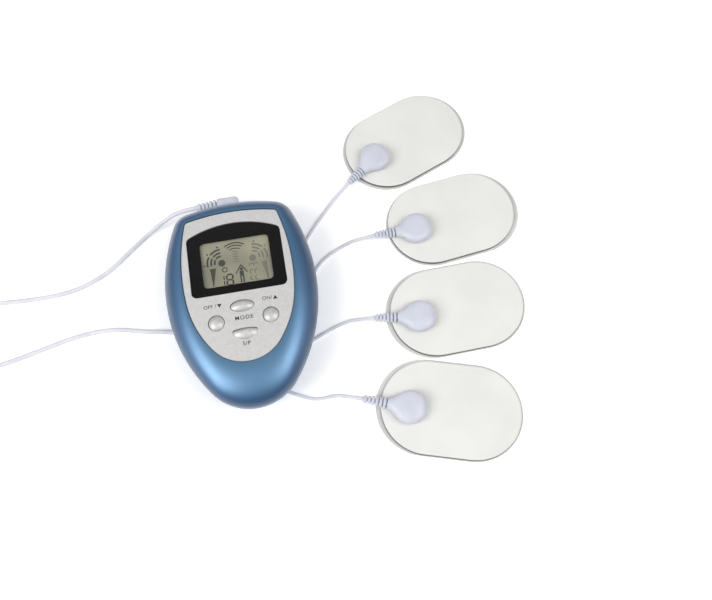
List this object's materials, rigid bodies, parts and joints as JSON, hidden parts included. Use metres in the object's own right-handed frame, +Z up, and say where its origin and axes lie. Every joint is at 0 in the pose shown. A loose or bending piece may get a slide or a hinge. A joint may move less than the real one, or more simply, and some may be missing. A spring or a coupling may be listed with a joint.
{
  "type": "tens unit",
  "caption": "Egg-shaped handheld nerve stimulator with a display, press buttons, battery door and belt clip, joined by a branching lead set to oval press-stud gel pads.",
  "frame": {"origin": "on the surface the set lies on, under the middle of the control unit, on the outer face of its belt clip", "axes": "+Z up, out of the display; +Y along the unit towards its output socket; +X towards the pads"},
  "size_m": [0.3442, 0.2245, 0.0289],
  "materials": {
    "pearl_blue": "metallic blue pearl lacquer on ABS, gloss",
    "blue_plastic": "blue ABS, satin gloss",
    "silver_plate": "silver-white metallic paint, fine grain",
    "black_print": "black screen print under the window",
    "clear_window": "clear acrylic, high gloss",
    "lcd": "grey-green reflective LCD",
    "reflector": "silvered film",
    "zebra": "conductive elastomer",
    "white_plastic": "white ABS, matt",
    "silver_button": "silver lacquered ABS",
    "silicone": "translucent grey silicone",
    "circuit_board": "green solder mask",
    "black_epoxy": "black epoxy and chip bodies",
    "ferrite": "ferrite core",
    "copper_winding": "enamelled copper wire",
    "capacitor_sleeve": "dark blue shrink sleeve",
    "cell_case": "plain metal cell with a plain sleeve",
    "contact_metal": "nickel-plated spring steel",
    "screw_steel": "zinc-plated steel",
    "black_plastic": "black nylon",
    "lead_plastic": "pale lavender-white PVC moulding",
    "lead_wire": "light grey PVC cord, satin",
    "pad_cover": "white non-woven foam cover",
    "pad_gel": "translucent grey hydrogel on carbon film",
    "pad_liner": "translucent release film",
    "stud_metal": "nickel-plated snap stud"
  },
  "bodies": {
    "control_unit": {"front_shell": "pearl_blue", "rear_shell": "blue_plastic", "face_plate": "silver_plate", "window_mask": "black_print", "window_lens": "clear_window", "lcd_glass": "lcd", "lcd_reflector": "reflector", "zebra_strips": "zebra", "lcd_holder": "white_plastic", "keypad_membrane": "silicone", "main_board": "circuit_board", "board_chips": "black_epoxy", "transformer_cores": "ferrite", "transformer_windings": "copper_winding", "capacitors": "capacitor_sleeve", "aaa_cells": "cell_case", "battery_contacts": "contact_metal", "case_screws": "screw_steel", "board_screws": "screw_steel", "output_socket": "black_plastic", "socket_contacts": "contact_metal", "clip_pin": "screw_steel", "clip_spring": "contact_metal", "plug_housing": "lead_plastic", "plug_pin": "stud_metal", "cord_run_out": "lead_wire", "cord_coil": "lead_wire", "cord_run_in": "lead_wire", "splitter": "lead_plastic", "lead_1": "lead_wire", "lead_2": "lead_wire", "lead_3": "lead_wire", "lead_4": "lead_wire", "connector_1": "lead_plastic", "connector_2": "lead_plastic", "connector_3": "lead_plastic", "connector_4": "lead_plastic", "snap_sockets": "stud_metal"},
    "battery_door": {"battery_door": "blue_plastic"},
    "belt_clip": {"belt_clip": "blue_plastic"},
    "button_off_down": {"button_off_down": "silver_button"},
    "button_on_up": {"button_on_up": "silver_button"},
    "button_mode": {"button_mode": "silver_button"},
    "button_pause": {"button_pause": "silver_button"},
    "pad_1": {"pad_1_cover": "pad_cover", "pad_1_gel": "pad_gel", "pad_1_liner": "pad_liner", "snap_stud_1": "stud_metal"},
    "pad_2": {"pad_2_cover": "pad_cover", "pad_2_gel": "pad_gel", "pad_2_liner": "pad_liner", "snap_stud_2": "stud_metal"},
    "pad_3": {"pad_3_cover": "pad_cover", "pad_3_gel": "pad_gel", "pad_3_liner": "pad_liner", "snap_stud_3": "stud_metal"},
    "pad_4": {"pad_4_cover": "pad_cover", "pad_4_gel": "pad_gel", "pad_4_liner": "pad_liner", "snap_stud_4": "stud_metal"}
  },
  "joints": [
    {"name": "button_off_down_press", "type": "slide", "parent": "control_unit", "child": "button_off_down", "axis": [0, 0, -1], "range_m": [0, 0.0008], "stiffness_N_per_m": 400, "springref_m": -0.0005, "deforming": ["keypad_membrane"]},
    {"name": "button_on_up_press", "type": "slide", "parent": "control_unit", "child": "button_on_up", "axis": [0, 0, -1], "range_m": [0, 0.0008], "stiffness_N_per_m": 400, "springref_m": -0.0005, "deforming": ["keypad_membrane"]},
    {"name": "button_mode_press", "type": "slide", "parent": "control_unit", "child": "button_mode", "axis": [0, 0, -1], "range_m": [0, 0.0008], "stiffness_N_per_m": 400, "springref_m": -0.0005, "deforming": ["keypad_membrane"]},
    {"name": "button_pause_press", "type": "slide", "parent": "control_unit", "child": "button_pause", "axis": [0, 0, -1], "range_m": [0, 0.0008], "stiffness_N_per_m": 400, "springref_m": -0.0005, "deforming": ["keypad_membrane"]},
    {"name": "battery_door_slide", "type": "slide", "parent": "control_unit", "child": "battery_door", "axis": [0, -1, 0], "range_m": [0, 0.054]},
    {"name": "belt_clip_hinge", "type": "hinge", "parent": "control_unit", "child": "belt_clip", "pos_m": [0, 0.042, 0.0049], "axis": [1, 0, 0], "range_deg": [0, 12], "stiffness_Nm_per_rad": 0.25, "springref_deg": -11.46, "deforming": ["clip_spring"]},
    {"name": "pad_1_swivel", "type": "hinge", "parent": "control_unit", "child": "pad_1", "pos_m": [0.0861, 0.0789, 0.004], "axis": [0, 0, 1], "range_deg": [-8, 60]},
    {"name": "pad_2_swivel", "type": "hinge", "parent": "control_unit", "child": "pad_2", "pos_m": [0.1007, 0.0295, 0.004], "axis": [0, 0, 1], "range_deg": [-5, 12]},
    {"name": "pad_3_swivel", "type": "hinge", "parent": "control_unit", "child": "pad_3", "pos_m": [0.0919, -0.0223, 0.004], "axis": [0, 0, 1], "range_deg": [-2, 3]},
    {"name": "pad_4_swivel", "type": "hinge", "parent": "control_unit", "child": "pad_4", "pos_m": [0.077, -0.0703, 0.004], "axis": [0, 0, 1], "range_deg": [-40, 3]}
  ]
}
